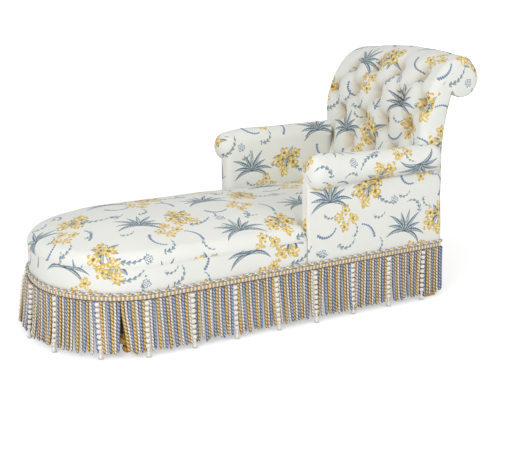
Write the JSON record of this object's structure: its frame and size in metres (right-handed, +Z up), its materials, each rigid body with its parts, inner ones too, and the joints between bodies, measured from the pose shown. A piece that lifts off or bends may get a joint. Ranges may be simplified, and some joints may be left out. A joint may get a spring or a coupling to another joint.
{
  "type": "fainting couch",
  "caption": "Upholstered fainting couch with round foot end, sprung seat, two low rolled arms, deep-buttoned scroll back and bullion fringe, on castored front legs.",
  "frame": {"origin": "centre of the overall length and width, at floor level", "axes": "+Z up, +Y from the foot end to the back, +X to the left of a person leaning on the back"},
  "size_m": [0.7798, 1.7211, 0.944],
  "materials": {
    "beech": "planed, unfinished",
    "turned_leg": "turned, stained and waxed",
    "brass": "lacquered, slightly worn",
    "steel_pin": "bright drawn steel",
    "spring_steel": "coppered spring wire",
    "jute_webbing": "plain woven jute",
    "canvas": "coarse woven hessian",
    "black_cambric": "thin woven dust cloth",
    "stuffing": "curled hair and cotton felt",
    "printed_cotton": "printed cotton-linen cloth, ivory ground with slate blue and yellow botanical print",
    "fringe_gold": "twisted gold cotton rope",
    "fringe_blue": "twisted blue cotton rope",
    "fringe_cream": "twisted cream cotton rope"
  },
  "bodies": {
    "couch": {"arm_board_left": "beech", "arm_board_right": "beech", "arm_cover_left": "printed_cotton", "arm_cover_right": "printed_cotton", "arm_post_left": "beech", "arm_post_right": "beech", "arm_stuffing_left": "stuffing", "arm_stuffing_right": "stuffing", "back_buttons": "printed_cotton", "back_cover": "printed_cotton", "back_lower_rail": "beech", "back_middle_rail": "beech", "back_post_left": "beech", "back_post_right": "beech", "back_stuffing": "stuffing", "back_top_rail": "beech", "back_webbing": "jute_webbing", "castor_cup_left": "brass", "castor_cup_right": "brass", "corner_blocks": "beech", "dust_cover": "black_cambric", "foot_rail": "beech", "fringe_braid": "fringe_gold", "fringe_cord": "fringe_gold", "fringe_ropes_blue": "fringe_blue", "fringe_ropes_cream": "fringe_cream", "fringe_ropes_gold": "fringe_gold", "fringe_tassels": "fringe_cream", "front_leg_left": "turned_leg", "front_leg_right": "turned_leg", "leg_block_left": "beech", "leg_block_right": "beech", "outside_arm_panel_left": "printed_cotton", "outside_arm_panel_right": "printed_cotton", "outside_back_panel": "printed_cotton", "rail_dowels": "beech", "rear_seat_rail": "beech", "seat_canvas": "canvas", "seat_cover": "printed_cotton", "seat_cross_rail": "beech", "seat_rail_left": "beech", "seat_rail_right": "beech", "seat_springs": "spring_steel", "seat_stuffing": "stuffing", "seat_webbing": "jute_webbing"},
    "castor_fork_left": {"castor_fork_left": "brass", "castor_axle_left": "steel_pin"},
    "castor_wheel_left": {"castor_wheel_left": "brass"},
    "castor_fork_right": {"castor_fork_right": "brass", "castor_axle_right": "steel_pin"},
    "castor_wheel_right": {"castor_wheel_right": "brass"}
  },
  "joints": [
    {"name": "castor_swivel_left", "type": "hinge", "parent": "couch", "child": "castor_fork_left", "pos_m": [0.27233, -0.63219, 0.04], "axis": [0, 0, 1], "continuous": true},
    {"name": "castor_roll_left", "type": "hinge", "parent": "castor_fork_left", "child": "castor_wheel_left", "pos_m": [0.27233, -0.62219, 0.017], "axis": [1, 0, 0], "continuous": true},
    {"name": "castor_swivel_right", "type": "hinge", "parent": "couch", "child": "castor_fork_right", "pos_m": [-0.27233, -0.63219, 0.04], "axis": [0, 0, 1], "continuous": true},
    {"name": "castor_roll_right", "type": "hinge", "parent": "castor_fork_right", "child": "castor_wheel_right", "pos_m": [-0.27233, -0.62219, 0.017], "axis": [1, 0, 0], "continuous": true}
  ]
}
